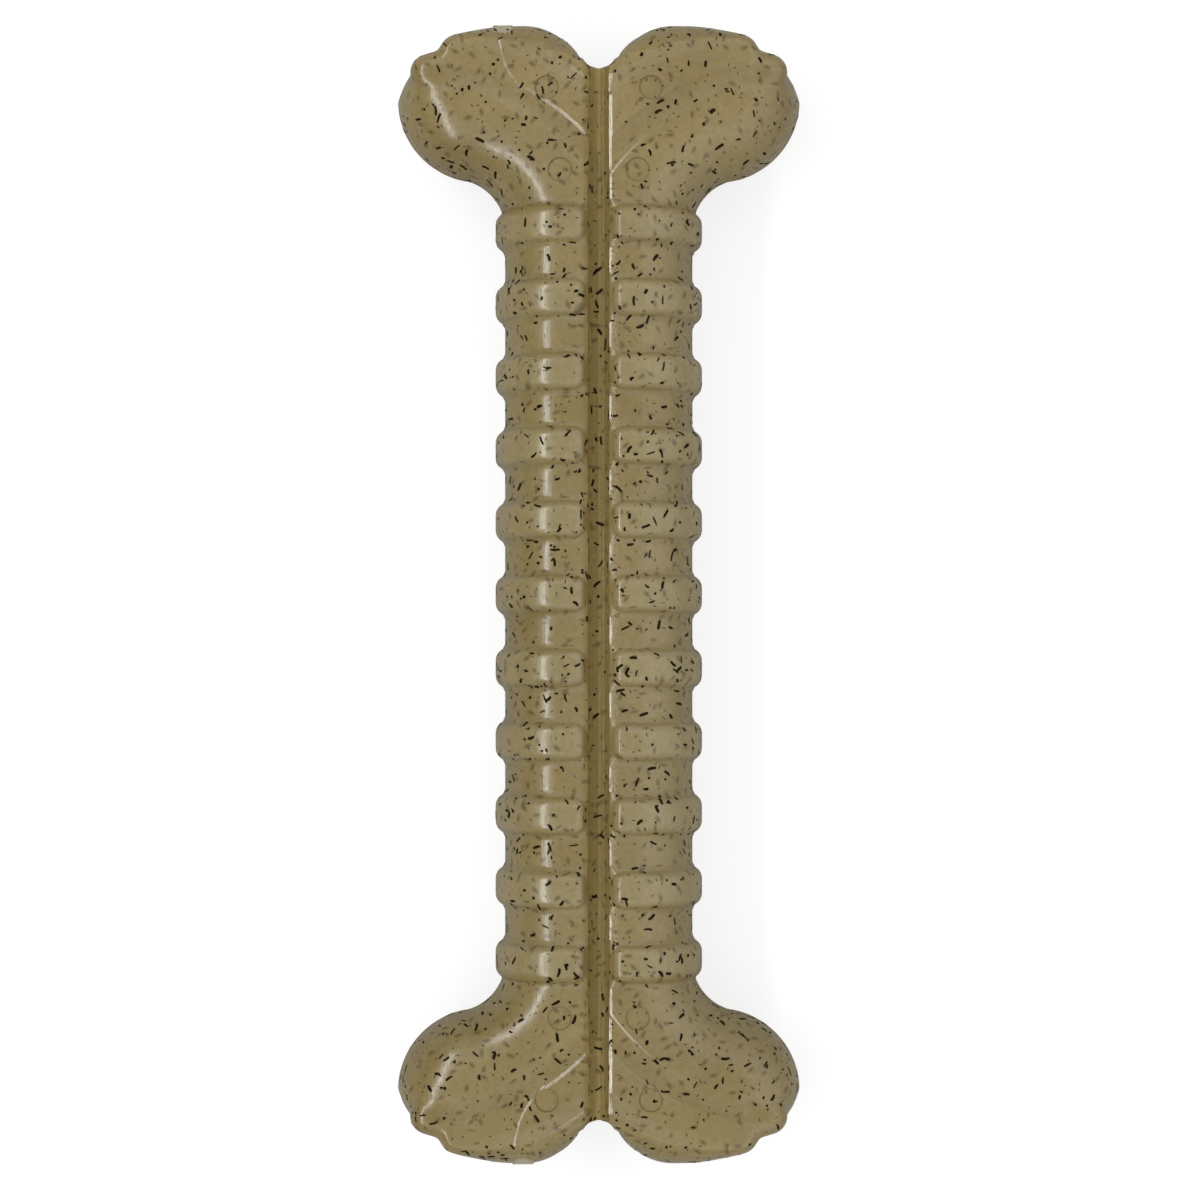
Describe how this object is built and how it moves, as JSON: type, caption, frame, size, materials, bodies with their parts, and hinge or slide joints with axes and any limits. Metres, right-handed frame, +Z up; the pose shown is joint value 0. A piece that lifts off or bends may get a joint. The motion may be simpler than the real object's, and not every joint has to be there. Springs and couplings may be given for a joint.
{
  "type": "nylon chew bone",
  "caption": "Bone-shaped dog chew of tan nylon with dark flecks: ribbed bars joined by a web along a lengthwise channel, ending in paired knobs of grooved rolls.",
  "frame": {"origin": "on the resting plane, under the middle of the bone", "axes": "+Y along the bone's length, +X across the bars, +Z up from the resting plane to the face with the ejector marks"},
  "size_m": [0.0524, 0.147, 0.0185],
  "materials": {
    "nylon": "satin moulded nylon, slightly translucent",
    "fibre": "dark plant-fibre flecks, set flush in the nylon"
  },
  "bodies": {
    "root": {"nylon_body": "nylon", "flecks_left_bar": "fibre", "flecks_right_bar": "fibre", "flecks_channel": "fibre", "flecks_upper_left_knob": "fibre", "flecks_upper_right_knob": "fibre", "flecks_lower_left_knob": "fibre", "flecks_lower_right_knob": "fibre"}
  },
  "joints": []
}
